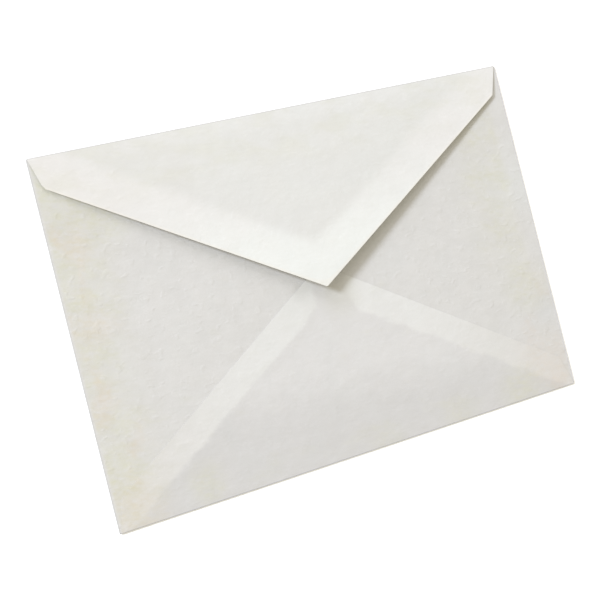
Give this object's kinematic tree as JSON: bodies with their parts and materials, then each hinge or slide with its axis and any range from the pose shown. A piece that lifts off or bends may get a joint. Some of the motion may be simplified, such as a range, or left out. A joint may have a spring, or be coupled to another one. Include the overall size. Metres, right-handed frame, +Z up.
{
  "type": "paper envelope",
  "caption": "Rectangular paper envelope lying flat, folded from one sheet, with diagonal glued seams and a pointed top flap that bows slightly open.",
  "frame": {"origin": "middle of the underside of the front panel, on the surface it lies on", "axes": "+X along the long side, +Y towards the fold of the top flap, +Z up, out of the flap side"},
  "size_m": [0.162, 0.114, 0.0041],
  "materials": {
    "envelope_paper": "uncoated off-white paper, slightly aged to yellow at the folds, matt"
  },
  "bodies": {
    "root": {"folded_sheet": "envelope_paper"}
  },
  "joints": []
}
